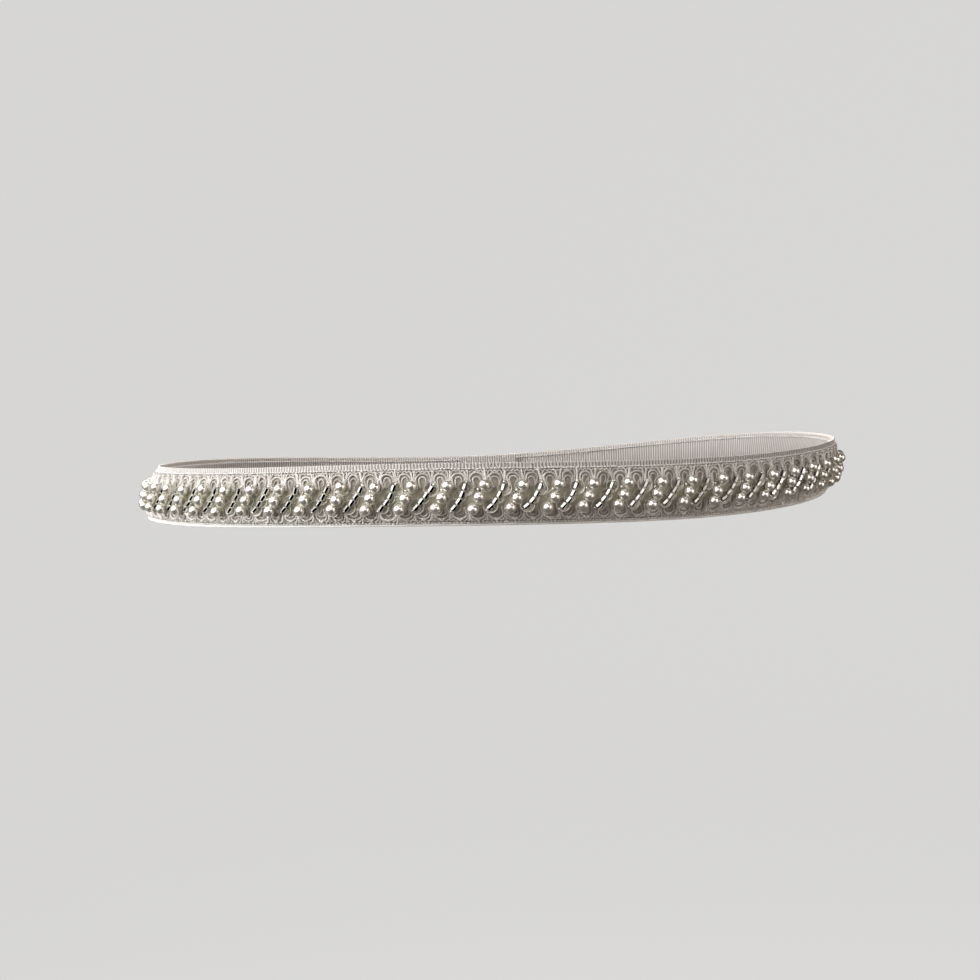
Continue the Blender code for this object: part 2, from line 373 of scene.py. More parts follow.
# %% Finishes
class Finish:
    """A material under construction."""

    def __init__(self, name, **constants):
        self.material = bpy.data.materials.new(name)
        self.material.use_nodes = True
        self.tree = self.material.node_tree
        self.shader = self.tree.nodes["Principled BSDF"]
        for socket, value in constants.items():
            self.shader.inputs[socket.replace("_", " ")].default_value = value

    def node(self, kind, settings=None, inputs=None, output=0):
        """Add a node: first its settings, then the values or wires of its sockets."""
        made = self.tree.nodes.new(kind)
        for key, value in (settings or {}).items():
            if key == "stops":
                self.set_stops(made.color_ramp, value)
            else:
                setattr(made, key, value)
        for key, value in (inputs or {}).items():
            self.feed(made.inputs[key], value)
        return Wire(self, made.outputs[output])

    def set_stops(self, ramp, stops):
        while len(ramp.elements) < len(stops):
            ramp.elements.new(1.0)
        for element, (position, colour) in zip(ramp.elements, stops):
            element.position = position
            element.color = (*colour, 1.0)

    def feed(self, socket, value):
        if isinstance(value, Wire):
            self.tree.links.new(value.socket, socket)
        else:
            socket.default_value = value

    def number(self, name):
        """A number that the mesh carries at each point."""
        return self.node("ShaderNodeAttribute", {"attribute_name": name}, output="Fac")

    def mix(self, share, first, second):
        """Mix two colours."""
        first = first if isinstance(first, Wire) else (*first, 1.0)
        second = second if isinstance(second, Wire) else (*second, 1.0)
        settings = {"data_type": "RGBA"}
        return self.node("ShaderNodeMix", settings, {0: share, 6: first, 7: second}, output=2)

    def noise(self, scale, detail=2.0):
        """Clouds in world space, so many to the metre."""
        place = self.node("ShaderNodeNewGeometry")
        inputs = {"Vector": place, "Scale": scale, "Detail": detail}
        return self.node("ShaderNodeTexNoise", None, inputs)

    def bump(self, height, strength, distance):
        inputs = {"Height": height, "Strength": strength, "Distance": distance}
        self.feed(self.shader.inputs["Normal"], self.node("ShaderNodeBump", None, inputs))

    def colour(self, value):
        self.feed(self.shader.inputs["Base Color"], value)

    def roughness(self, value):
        self.feed(self.shader.inputs["Roughness"], value)


print("shader helpers are ready")

# %% [markdown]
# ## The grosgrain ribbon
#
# Grosgrain is woven with thick filling threads, which show as ribs straight across it,
# and fine lengthwise threads that cover them. The ribs catch the light one by one, so
# they are modelled, six columns of points to each; the fine threads are only a bump.
# The cloth is a closed shell thinner than its solid, and at each end it is turned under.
# Its colour carries painted shade in the rib valleys and under both edges of the braid,
# and a painted highlight on the lip along its lower edge.

# %% Grosgrain finish
def grosgrain_finish():
    finish = Finish("grosgrain_white", Roughness=0.5, Sheen_Weight=0.25, Sheen_Roughness=0.4)
    ridge = finish.number("ridge")
    up = finish.number("up")
    cloud = finish.noise(120.0)
    # Painted shade: rib valleys and rows under the braid's edges take the dark colour, crests the
    # pale one, and the lip the palest, as a painted highlight.
    valley = finish.mix(cloud, (0.29, 0.26, 0.24), (0.36, 0.33, 0.31))
    crest = finish.mix(cloud, (0.92, 0.91, 0.895), (0.97, 0.965, 0.955))
    finish.colour(finish.mix(ridge, valley, crest))
    threads = (up * (TURN / (0.21 * MM))).sine()
    finish.bump(threads * 0.5 + cloud, 0.35, 0.05 * MM)
    finish.roughness(0.56 - 0.14 * ridge)
    return finish.material


grosgrain = grosgrain_finish()
print(grosgrain.name, "has", len(grosgrain.node_tree.nodes), "nodes")

# %% Ribbon mesh
RIB_PITCH = 1.2 * MM
RIB_COLUMNS = 6
RIB_HEIGHT = 0.22 * MM
CLOTH = 0.6 * MM
HEM = 8.0 * MM
HEM_STEP = 0.4 * MM
LIP_RISE = 0.75 * MM
# How pale the inside's crests may be, between its painted rib shade.
INNER_PALENESS = 0.82
EDGE_WAVE = 0.1 * MM
WAVY_ABOVE = 10.9
INNER_STEP = 0.15 * MM
# Columns: height in millimetres, then shares of the rib and of the lip, and how pale the
# row may be: low as painted shade under the braid's edges, high as a painted highlight
# on the lip.
OUTER_ROWS = (
    (-11.1, 0.0, 0.1, 1.0), (-11.0, 0.0, 0.8, 1.0), (-10.75, 0.0, 1.0, 1.0),
    (-10.5, 0.0, 0.85, 1.0), (-10.2, 0.0, 0.1, 1.0), (-10.12, 0.2, 0.0, 0.0),
    (-9.6, 1.0, 0.0, 0.0), (0.0, 1.0, 0.0, 0.3), (8.6, 1.0, 0.0, 0.2), (9.2, 1.0, 0.0, 0.25),
    (9.5, 1.0, 0.0, 0.85), (10.7, 1.0, 0.0, 0.85), (10.98, 0.75, 0.0, 0.9),
    (11.1, 0.3, -0.2, 1.0),
)
# Columns: height in millimetres and share of the rib.
INNER_ROWS = ((10.9, 0.2), (10.2, 1.0), (0.0, 1.0), (-10.2, 1.0), (-10.9, 0.2))


def rib_height(along):
    """The share of a rib's height, from 0 in a valley to 1 on a crest."""
    return (0.5 + 0.5 * np.cos(TURN * along / RIB_PITCH)) ** 0.9


def make_ribbon():
    """The ribbon as a closed shell, from rows of height and shares of rib, lip and shade."""
    first = -half_turn - LAP / 2.0
    last = half_turn + LAP / 2.0
    columns = int(round((last - first) / RIB_PITCH)) * RIB_COLUMNS + 1
    along = np.linspace(first, last, columns)
    crest = rib_height(along)
    from_end = np.minimum(along - first, last - along)
    backing = CLOTH + (RIBBON_WALL - CLOTH) * (1.0 - ease((from_end - HEM) / HEM_STEP))
    rows = []
    painted_shades = []
    for up, rib, lip, shade in OUTER_ROWS:
        wave = EDGE_WAVE * (2.0 * crest - 1.0) if up > WAVY_ABOVE else 0.0
        face = RIB_HEIGHT * crest * rib + LIP_RISE * lip
        rows.append(np.stack([along, face, up * MM + wave + 0.0 * along], axis=1))
        painted_shades.append(shade * (1.0 - rib * (1.0 - crest)))
    for up, rib in INNER_ROWS:
        face = -backing - RIB_HEIGHT * crest * rib + INNER_STEP * (1.0 - rib)
        rows.append(np.stack([along, face, up * MM + 0.0 * along], axis=1))
        painted_shades.append(INNER_PALENESS * (1.0 - rib * (1.0 - crest)))
    flat = np.stack(rows, axis=1)
    count = flat.shape[1]
    faces = grid_faces(columns, count, wrap_rows=True) + end_caps(columns, count)
    values = {"ridge": np.stack(painted_shades, axis=1), "up": flat[:, :, 2]}
    return add_piece(
        "ribbon_grosgrain", roll(flat).reshape(-1, 3), faces, grosgrain, 50.0, values
    )


ribbon = make_ribbon()
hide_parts("ribbon_band")

# %% [markdown]
# ## The braid's ground
#
# The braid is bought by the metre. Its ground is a soft domed tape, scalloped along both
# edges, that carries the cords and beads. Here it is one closed shell with a plain back,
# champagne in the middle, where sequins tint what lies below, and painted dark grey-brown
# out under the loops, as painted shade between the cords.

# %% Ground finish and mesh
BRAID_MIDDLE = (BRAID_TOP + BRAID_BOTTOM) / 2.0
BRAID_HALF = (BRAID_TOP - BRAID_BOTTOM) / 2.0
LOOP_PITCH = REPEAT / 2.0
LOOP_SHIFT = -0.5 * MM
LOOPS = np.arange(1, 2 * REPEATS)
LOOP_CENTRES = BRAID_START + LOOP_PITCH * LOOPS + LOOP_SHIFT
TAPE_EDGE = 0.35 * MM
TAPE_CROWN = 1.25 * MM
TAPE_MARGIN = 0.35 * MM
SCALLOP_WAVE = 0.3 * MM
TINT_REACH = 7.4 * MM
COLUMNS_A_REPEAT = 12
TAPE_ROWS = 15


def braid_face(up):
    """How far the domed braid's bead bed stands off the ribbon at a height."""
    share = (up - BRAID_MIDDLE) / BRAID_HALF
    return SEAM_GAP + BRAID_EDGE_WALL + BRAID_CROWN * (1.0 - share * share)


def ground_face(up):
    """The tape's own face, low at its edges to leave room for the cords."""
    share = np.clip((up - BRAID_MIDDLE) / BRAID_HALF, -1.0, 1.0)
    return SEAM_GAP + TAPE_EDGE + TAPE_CROWN * (1.0 - share * share)


def ground_finish():
    finish = Finish("braid_ground", Roughness=0.75, Sheen_Weight=0.3)
    up = finish.number("up")
    from_beads = ((up - BEAD_LINE) / TINT_REACH).magnitude()
    fine = finish.noise(900.0)
    # Champagne under the sequins, darker out under the loops as painted shade between the cords.
    stops = [(0.0, (0.65, 0.62, 0.485)), (0.7, (0.39, 0.35, 0.295)), (0.98, (0.46, 0.42, 0.37))]
    tint = finish.node("ShaderNodeValToRGB", {"stops": stops}, {0: from_beads + 0.2 * fine - 0.1})
    finish.colour(tint)
    finish.bump(fine, 0.6, 0.15 * MM)
    return finish.material


def make_ground():
    """The tape as one closed shell: a domed face of many rows over a back of three."""
    columns = REPEATS * COLUMNS_A_REPEAT + 1
    along = np.linspace(BRAID_START, BRAID_END, columns)
    shares = np.sin(np.linspace(-math.pi / 2.0, math.pi / 2.0, TAPE_ROWS))
    wave = SCALLOP_WAVE * np.cos(TURN * (along - LOOP_CENTRES[0]) / LOOP_PITCH)
    rows = []
    for share in shares:
        up = BRAID_MIDDLE + share * (BRAID_HALF - TAPE_MARGIN + wave)
        rows.append(np.stack([along, ground_face(up), up], axis=1))
    for share in (0.98, 0.0, -0.98):
        up = BRAID_MIDDLE + share * (BRAID_HALF - TAPE_MARGIN + wave)
        rows.append(np.stack([along, 0.0 * along + SEAM_GAP * 0.9, up], axis=1))
    flat = np.stack(rows, axis=1)
    count = flat.shape[1]
    faces = grid_faces(columns, count, wrap_rows=True) + end_caps(columns, count)
    return add_piece(
        "braid_ground", roll(flat).reshape(-1, 3), faces, ground_finish(),
        None, {"up": flat[:, :, 2]},
    )


ground = make_ground()
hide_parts("beaded_braid")

# %% [markdown]
# ## The corded loops
#
# Along each edge of the braid a satin cord runs in nested loops: a tall arch round a
# small one, with a fan of short cords between each arch and the next, and a small knot
# below each lower arch. A waving border cord lies over the tips along both edges. One
# path is drawn for each and made into a tube, and the copies are jittered a little, as
# real cord is never laid quite evenly.

# %% Cord finish
def cord_finish():
    finish = Finish("satin_cord", Roughness=0.34, Sheen_Weight=0.1)
    run = finish.number("run")
    around = finish.number("around")
    # Painted shade darkens the grooves of the twist, and the cord's paleness carries painted light
    # from the left, with clouds of random tone.
    wrap = 0.5 + 0.5 * (run * (TURN / (0.85 * MM)) + around).sine()
    shade = finish.noise(520.0)
    painted_glow = finish.number("tone") * (0.6 + 0.4 * wrap) + 1.1 * (shade - 0.4)
    finish.colour(finish.mix(painted_glow, (0.46, 0.42, 0.375), (0.99, 0.975, 0.955)))
    finish.bump(wrap, 0.5, 0.1 * MM)
    return finish.material


satin_cord = cord_finish()
print(satin_cord.name, "has", len(satin_cord.node_tree.nodes), "nodes")

# %% Paths of the cords
CORD_SIDES = 6


def arch(half_width, foot, shoulder, crown):
    """A loop's path: up one leg, round the crown and down the other leg."""
    legs = np.linspace(0.0, 1.0, 4)[:-1]
    left = [(-half_width * (0.66 + 0.34 * t), foot + (shoulder - foot) * t) for t in legs]
    bow = []
    for t in np.linspace(0.0, math.pi, 11):
        bow.append((-half_width * math.cos(t), shoulder + (crown - shoulder) * math.sin(t)))
    right = [(-x, up) for x, up in reversed(left)]
    return left + bow + right


def curl(foot, knee, tip, turn_back):
    """A short cord that rises through its knee and curls over at the tip."""
    shares = np.linspace(0.0, 1.0, 8)
    corners = (foot, knee, tip, turn_back)
    weights = ((1 - shares) ** 3, 3 * shares * (1 - shares) ** 2,
               3 * shares ** 2 * (1 - shares), shares ** 3)
    x = sum(weight * corner[0] for weight, corner in zip(weights, corners))
    up = sum(weight * corner[1] for weight, corner in zip(weights, corners))
    return list(zip(x, up))


def in_metres(path):
    """A path in millimetres as metres."""
    return [(x * MM, up * MM) for x, up in path]


print("an arch has", len(arch(2.2, 2.4, 5.6, 7.5)), "points")

# %% Loops and fans of cord
def lay_cords(name, path, centres, radius, lift, tone, painted_glow):
    """Copies of one cord at the centres, jittered and rolled, with painted light on the first leg.
    """
    x, up = np.array(path).T
    spine = np.stack([x, ground_face(up) + lift, up], axis=1)
    template = tube(spine, radius, CORD_SIDES)
    columns = len(path)
    count = len(centres)
    steps = np.linalg.norm(np.diff(spine, axis=0), axis=1)
    run = np.concatenate([[0.0], np.cumsum(steps)])
    copies = np.repeat(template[None], count, axis=0)
    widen, lean, grow, lifted, pale = rng.standard_normal((5, count, 1, 1))
    middle = up.mean()
    from_middle = copies[..., 2] - middle
    reach = np.clip(np.sign(middle) * from_middle / abs(up - middle).max(), 0.0, 1.0)
    slide = np.asarray(centres)[:, None, None]
    copies[..., 0] = copies[..., 0] * (1.0 + 0.12 * widen) + 0.12 * lean * from_middle + slide
    copies[..., 1] += 0.07 * MM * lifted
    copies[..., 2] += 0.2 * MM * np.sign(middle) * grow * reach
    faces = grid_faces(columns, CORD_SIDES, wrap_rows=True) + end_caps(columns, CORD_SIDES)
    bright = tone + painted_glow * (1.0 - 2.0 * run / run[-1])[None, :, None] + 0.28 * pale
    values = {
        "run": np.broadcast_to(run[None, :, None], copies.shape[:3]),
        "tone": np.broadcast_to(bright, copies.shape[:3]),
        "around": np.broadcast_to(TURN * np.arange(CORD_SIDES) / CORD_SIDES, copies.shape[:3]),
    }
    faces = repeat_faces(faces, count, columns * CORD_SIDES)
    return add_piece(
        name, roll(copies).reshape(-1, 3), faces, satin_cord, None, values
    )


GAPS = LOOP_CENTRES[:-1] + LOOP_PITCH / 2.0
# Columns: name, path, where its copies go, cord radius and lift off the tape, how pale
# the cord is, paler on the left-hand fans as painted light from the left, and how much
# paler its first end is than its last, also painted light from the left. Lengths are
# millimetres.
CORDS = (
    ("upper_arches", arch(2.2, 2.4, 5.6, 7.5), LOOP_CENTRES, 0.36, 0.45, 0.7, 0.5),
    ("upper_eyes", arch(1.2, 2.4, 4.9, 6.2), LOOP_CENTRES, 0.32, 0.34, 0.45, 0.4),
    ("upper_stems", curl((0.1, 1.6), (-0.1, 4.4), (0.15, 7.6), (0.0, 8.5)),
     GAPS, 0.33, 0.55, 1.0, 0),
    ("upper_left", curl((-0.1, 3.4), (-0.4, 6.6), (-0.9, 8.6), (-1.5, 8.3)),
     GAPS, 0.28, 0.5, 1.0, 0),
    ("upper_right", curl((0.2, 3.4), (0.4, 6.6), (0.9, 8.6), (1.5, 8.3)),
     GAPS, 0.28, 0.5, 0.6, 0),
    ("lower_arches", arch(2.3, -4.2, -6.9, -8.5), LOOP_CENTRES, 0.36, 0.45, 0.55, 0.4),
    ("lower_eyes", arch(1.25, -4.4, -6.2, -7.3), LOOP_CENTRES, 0.3, 0.32, 0.3, 0.3),
    ("lower_stems", curl((0.1, -4.6), (-0.1, -6.6), (0.1, -8.2), (0.0, -9.2)),
     GAPS, 0.3, 0.5, 0.6, 0),
    ("lower_left", curl((-0.1, -6.0), (-0.3, -8.3), (-0.9, -9.4), (-1.4, -8.8)),
     GAPS, 0.27, 0.45, 0.7, 0),
    ("lower_right", curl((0.1, -6.0), (0.3, -8.3), (0.9, -9.4), (1.4, -8.8)),
     GAPS, 0.27, 0.45, 0.4, 0),
    ("lower_knots", curl((-0.7, -8.1), (-0.3, -9.1), (0.3, -9.1), (0.7, -8.1)),
     LOOP_CENTRES, 0.3, 0.6, 1.0, 0),
)
cords = [
    lay_cords("cord_" + name, in_metres(path), centres, radius * MM, lift * MM, tone, painted_glow)
    for name, path, centres, radius, lift, tone, painted_glow in CORDS
]

# %% Border cords
BORDER_PITCH = LOOP_PITCH / 4.0
BORDER_COLUMNS = 6
BORDER_LIFT = 0.22 * MM
BORDER_TONE = 0.6


def border_cord(name, up, swing, radius):
    """One long cord that waves along an edge of the braid, over the tips of the fans."""
    columns = int(round(BRAID_LENGTH / BORDER_PITCH)) * BORDER_COLUMNS
    along = np.linspace(BRAID_START + radius, BRAID_END - radius, columns)
    turn = TURN * (along - GAPS[0]) / BORDER_PITCH
    height = up + swing * np.cos(turn) + 0.3 * swing * np.sin(0.37 * turn)
    path = np.stack([along, ground_face(height) + BORDER_LIFT, height], axis=1)
    points = tube(path, radius, CORD_SIDES)
    faces = grid_faces(columns, CORD_SIDES, wrap_rows=True) + end_caps(columns, CORD_SIDES)
    values = {
        "run": np.repeat(along - along[0], CORD_SIDES),
        "around": np.tile(TURN * np.arange(CORD_SIDES) / CORD_SIDES, columns),
        "tone": np.full(columns * CORD_SIDES, BORDER_TONE),
    }
    return add_piece(
        name, roll(points).reshape(-1, 3), faces, satin_cord, None, values
    )


cords.append(border_cord("cord_upper_border", 8.2 * MM, 0.28 * MM, 0.24 * MM))
cords.append(border_cord("cord_lower_border", -9.0 * MM, -0.25 * MM, 0.22 * MM))

# %% [markdown]
# ## Sequins
#
# Round cupped sequins of clear champagne film lie under the beads, one below each end and
# the middle of a bugle strand and one below each pearl, overlapping like scales. They tint
# the middle of the braid, out to its cut ends, and their rims are painted paler, as thin
# bright arcs of painted highlight. Each is a thin turned shell.

# %% Sequin finish and mesh
def sequin_finish():
    finish = Finish("champagne_sequin", Roughness=0.12, Coat_Weight=1.0, Coat_Roughness=0.05)
    tint = finish.number("tint")
    rim = finish.number("rim")
    film = finish.mix(tint, (0.65, 0.625, 0.48), (0.84, 0.82, 0.68))
    # Painted highlight: the rim is painted paler than the film.
    finish.colour(finish.mix(rim, film, (0.88, 0.87, 0.80)))
    finish.feed(finish.shader.inputs["Alpha"], 0.45 + 0.5 * rim)
    ripple = finish.noise(700.0)
    finish.bump(ripple, 0.25, 0.08 * MM)
    return finish.material


SEQUIN_RADIUS = 2.45 * MM
SEQUIN_FILM = 0.08 * MM
SEQUIN_SIDES = 20


def sequin_template():
    """A cupped disc with a hole, its string axis turned to lie along the disc's up."""
    rings = ((0.18, 0.0), (0.6, 0.05), (0.85, 0.28), (0.92, 0.5), (0.98, 0.52), (1.0, 0.4))
    profile = [(rise * MM, radius * SEQUIN_RADIUS) for radius, rise in rings]
    under = [(rise - SEQUIN_FILM, radius) for rise, radius in reversed(profile[:-3])]
    turned, faces = lathe(profile + under, SEQUIN_SIDES)
    rim = np.tile([0.0, 0.0, 0.4, 1.0, 1.0, 1.0, 0.3, 0.0, 0.0], SEQUIN_SIDES)
    return np.stack([turned[:, 1], turned[:, 0], turned[:, 2]], axis=1), faces, rim


def dome_tilt(up):
    """The tilt that lays a bead's own axes along the braid's dome."""
    slope = -2.0 * BRAID_CROWN * (up - BRAID_MIDDLE) / (BRAID_HALF * BRAID_HALF)
    return np.arctan(slope)


def make_sequins():
    strand = np.array([math.cos(STRAND_SLANT), math.sin(STRAND_SLANT)])
    under_strand = [(*(strand * 4.0 * MM), 1.12), (*(strand * -3.7 * MM), 1.12), (0.0, 0.0, 0.9)]
    under_pearls = [(x + 0.2 * MM, up - 0.2 * MM, 0.98) for x, up in TRIO]
    inset = 1.15 * SEQUIN_RADIUS
    centres = []
    sizes = []
    for half in range(2 * REPEATS + 1):
        middle = BRAID_START + half * REPEAT / 2.0
        for x, up, size in under_pearls if half % 2 else under_strand:
            x, up = np.array([x, up]) + 0.22 * MM * rng.standard_normal(2)
            along = np.clip(middle + x, BRAID_START + inset, BRAID_END - inset)
            height = BEAD_LINE + up
            stack = 0.3 * MM * rng.random()
            centres.append((along, braid_face(height) - 0.25 * MM + stack, height))
            sizes.append(size * (1.0 + 0.05 * rng.standard_normal()))
    centres = np.array(centres)
    tilts = dome_tilt(centres[:, 2]) + 0.16 * rng.standard_normal(len(centres))
    turns = math.pi / 2.0 + 0.2 * rng.standard_normal(len(centres))
    template, faces, rim = sequin_template()
    points, all_faces = copy_beads(template, faces, centres, turns, tilts, np.array(sizes))
    values = {
        "tint": np.repeat(rng.random(len(centres)), len(template)),
        "rim": np.tile(rim, len(centres)),
    }
    return add_piece("sequins", points, all_faces, sequin_finish(), 60.0, values)


sequins = make_sequins()

# %% [markdown]
# ## Pearls
#
# The pearls are 4 mm beads in slanting rows of three. A bead is a ball turned on a lathe
# round its thread hole, so the hole is real. The finish is a warm white body under a hard
# clear coat, half metallic, which is what gives an imitation pearl its deep gloss.

# %% Pearl finish and mesh
def pearl_finish():
    finish = Finish(
        "pearl_ivory", Metallic=0.5, Coat_Weight=1.0, Coat_Roughness=0.02, Coat_IOR=2.0,
        Sheen_Weight=0.7, Sheen_Roughness=0.3,
    )
    tint = finish.number("tint")
    cloud = finish.noise(300.0)
    finish.colour(finish.mix(tint, (0.92, 0.885, 0.79), (0.97, 0.945, 0.88)))
    finish.roughness(0.13 + 0.08 * cloud)
    return finish.material


def pearl_template():
    sides = 24
    hole = 0.17
    angles = np.linspace(hole, math.pi - hole, 13)
    profile = [(PEARL_RADIUS * math.cos(a), PEARL_RADIUS * math.sin(a)) for a in angles]
    return lathe(profile, sides)


def trio_centres():
    """The pearls' centres, as (along, out, up), from the first repeat to the last."""
    centres = []
    for number in range(REPEATS):
        middle = BRAID_START + (number + 0.5) * REPEAT
        for x, up in TRIO:
            height = BEAD_LINE + up
            centres.append((middle + x, braid_face(height) + 1.9 * MM, height))
    return np.array(centres)


def make_pearls():
    centres = trio_centres()
    centres[:, 0] += 0.22 * MM * rng.standard_normal(len(centres))
    centres[:, 2] += 0.18 * MM * rng.standard_normal(len(centres))
    centres[:, 1] += 0.08 * MM * rng.standard_normal(len(centres))
    turns = math.radians(62.0) + 0.2 * rng.standard_normal(len(centres))
    tilts = 0.2 * rng.standard_normal(len(centres))
    template, faces = pearl_template()
    points, all_faces = copy_beads(template, faces, centres, turns, tilts)
    tint = np.repeat(rng.random(len(centres)), len(template))
    piece = add_piece("pearls", points, all_faces, pearl_finish(), None, {"tint": tint})
    return piece, centres


pearls, pearl_centres = make_pearls()

# %% [markdown]
# ## Bugle beads and seed beads
#
# Half a repeat from each row of pearls lies a strand of four bugle beads: short glass
# tubes lined with silver. Their cut sides flash white or black as they turn. Mirrors so
# small don't come out right from every side, so each tube has six flat sides, painted by
# turns bright and brushed, as a painted flash, and near black, as a painted dark
# reflection, told apart by a number on each face. Seed beads end each strand and link its
# bugles, and one more lies beside each row of pearls.

# %% Bugle and seed finishes
def silver_finish(name, colour):
    """Silver-lined glass from a mask: bright and brushed where it is 1, near black where 0.

    On the bugles the mask paints a flash and a dark reflection; on the seeds it is a random tone.
    """
    finish = Finish(name, Coat_Weight=1.0, Coat_Roughness=0.02)
    silver = finish.number("silver")
    dark = tuple(0.04 * channel for channel in colour)
    finish.colour(finish.mix(silver, dark, colour))
    finish.roughness(0.08 + 0.24 * silver)
    finish.feed(finish.shader.inputs["Metallic"], 1.0 - 0.55 * silver)
    finish.bump(finish.noise(500.0), 0.2, 0.1 * MM)
    return finish.material


# %% Bugle and seed meshes
BUGLE_LENGTH = 2.15 * MM
BUGLE_RADIUS = 0.84 * MM
BUGLE_HOLE = 0.34 * MM
BUGLE_PITCH = 2.8 * MM
SEED_RADIUS = 0.72 * MM


def bugle_template():
    half = BUGLE_LENGTH / 2.0
    bevel = 0.12 * MM
    profile = [
        (half, BUGLE_HOLE), (half, BUGLE_RADIUS - bevel), (half - bevel, BUGLE_RADIUS),
        (bevel - half, BUGLE_RADIUS), (-half, BUGLE_RADIUS - bevel), (-half, BUGLE_HOLE),
    ]
    return lathe(profile, 6)


def seed_template():
    angles = np.linspace(0.5, math.pi - 0.5, 6)
    profile = [(0.8 * SEED_RADIUS * math.cos(a), SEED_RADIUS * math.sin(a)) for a in angles]
    return lathe(profile, 12)


def strand_spots():
    """The strands' beads: bugle centres with their turns, and seed centres."""
    bugles = []
    turns = []
    seeds = []
    for number in range(1, REPEATS):
        middle = np.array([BRAID_START + number * REPEAT, BEAD_LINE])
        slant = STRAND_SLANT + 0.05 + 0.05 * rng.standard_normal()
        bend = 0.14 + 0.05 * rng.standard_normal()
        for step in (-1.5, -0.5, 0.5, 1.5):
            turn = slant + bend * step + 0.06 * rng.standard_normal()
            run = np.array([math.cos(slant), math.sin(slant)])
            side = np.array([-run[1], run[0]])
            bow = 0.5 * bend * (step * step - 1.0) * BUGLE_PITCH
            spot = middle + run * step * BUGLE_PITCH + side * bow
            spot = spot + side * (0.08 * MM * rng.standard_normal())
            out = braid_face(spot[1]) + 0.8 * MM + 0.12 * MM * rng.random()
            bugles.append((spot[0], out, spot[1]))
            turns.append(turn)
        for step, size in ((-2.1, 1.0), (-1.0, 0.55), (0.0, 0.55), (1.0, 0.55), (2.1, 1.0)):
            bow = 0.5 * bend * (step * step - 1.0) * BUGLE_PITCH
            spot = middle + run * step * BUGLE_PITCH + side * bow
            out = braid_face(spot[1]) + (0.35 if size == 1.0 else 0.85) * MM
            seeds.append((spot[0], out, spot[1], size))
    return np.array(bugles), np.array(turns), np.array(seeds)


bugle_centres, bugle_turns, strand_seeds = strand_spots()
template, template_faces = bugle_template()
bugle_tilts = 0.06 * rng.standard_normal(len(bugle_centres))
points, faces = copy_beads(template, template_faces, bugle_centres, bugle_turns, bugle_tilts)
# Painted flash and painted dark reflection: the six faces are painted bright and near black by
# turns.
sides = np.repeat([1.0, 0.0] * 3, len(template_faces) // 6)
silver = {"silver": np.tile(sides, len(bugle_centres))}
bugle_finish = silver_finish("silver_lined_glass", (0.98, 0.98, 0.96))
bugles = add_piece("bugle_beads", points, faces, bugle_finish, 40.0, None, silver)

between = pearl_centres.reshape(-1, 3, 3)
beside = 0.5 * (between[:, 0] + between[:, 1]) + np.array([-1.15 * MM, -1.7 * MM, 0.55 * MM])
all_seeds = np.concatenate([strand_seeds[:, :3], beside])
seed_sizes = np.concatenate([strand_seeds[:, 3], np.ones(len(beside))])
seed_shape, seed_faces = seed_template()
seed_turns = rng.random(len(all_seeds)) * math.pi
points, faces = copy_beads(seed_shape, seed_faces, all_seeds, seed_turns, 0.4, seed_sizes)
silver = {"silver": np.repeat(0.5 + 0.5 * rng.random(len(all_seeds)), len(seed_faces))}
seed_finish = silver_finish("seed_glass", (0.92, 0.91, 0.86))
seeds = add_piece("seed_beads", points, faces, seed_finish, 40.0, None, silver)

# %% [markdown]
# ## Sewing
#
# A sewing machine fixes the braid with one row of short stitches just inside each edge of
# the ribbon, and closes the turned end; its second thread shows on the inside. The beads
# are strung on thread that comes up from the ground and goes back into it, and a few
# turns of thread hold the hook and bar. Every stitch is a small tube.

# %% Thread finish and stitches
STITCH_PITCH = 1.27 * MM
STITCH_LENGTH = 0.78 * MM
STITCH_RADIUS = 0.34 * MM
STITCH_COLUMNS = 5
THREAD_SIDES = 5


def thread_finish():
    finish = Finish("white_thread", Roughness=0.4, Sheen_Weight=0.2)
    shade = finish.noise(500.0)
    finish.colour(finish.mix(shade, (0.96, 0.955, 0.94), (1.0, 0.995, 0.985)))
    finish.bump(shade, 0.3, 0.03 * MM)
    return finish.material


white_thread = thread_finish()


def lay_stitches(name, spots, face, upright=False):
    """Stitches at (along, up) spots on a face that far out; a negative one is inside."""
    shares = np.linspace(-0.5, 0.5, STITCH_COLUMNS)
    arc = face + math.copysign(0.45 * MM, face) * np.cos(math.pi * shares)
    run, still = shares * STITCH_LENGTH, 0.0 * shares
    path = np.stack([still, arc, run] if upright else [run, arc, still], axis=1)
    template = tube(path, STITCH_RADIUS, THREAD_SIDES)
    spots = np.array(spots) + 0.05 * MM * rng.standard_normal((len(spots), 2))
    copies = np.repeat(template[None], len(spots), axis=0)
    copies[..., 0] += spots[:, 0, None, None]
    copies[..., 2] += spots[:, 1, None, None]
    faces = grid_faces(STITCH_COLUMNS, THREAD_SIDES, wrap_rows=True)
    faces = faces + end_caps(STITCH_COLUMNS, THREAD_SIDES)
    faces = repeat_faces(faces, len(spots), STITCH_COLUMNS * THREAD_SIDES)
    return add_piece(name, roll(copies).reshape(-1, 3), faces, white_thread)


def row_along(first, last, up):
    return [(along, up) for along in np.arange(first, last, STITCH_PITCH)]


def row_up(along, low, high):
    return [(along, up) for up in np.arange(low, high, STITCH_PITCH)]


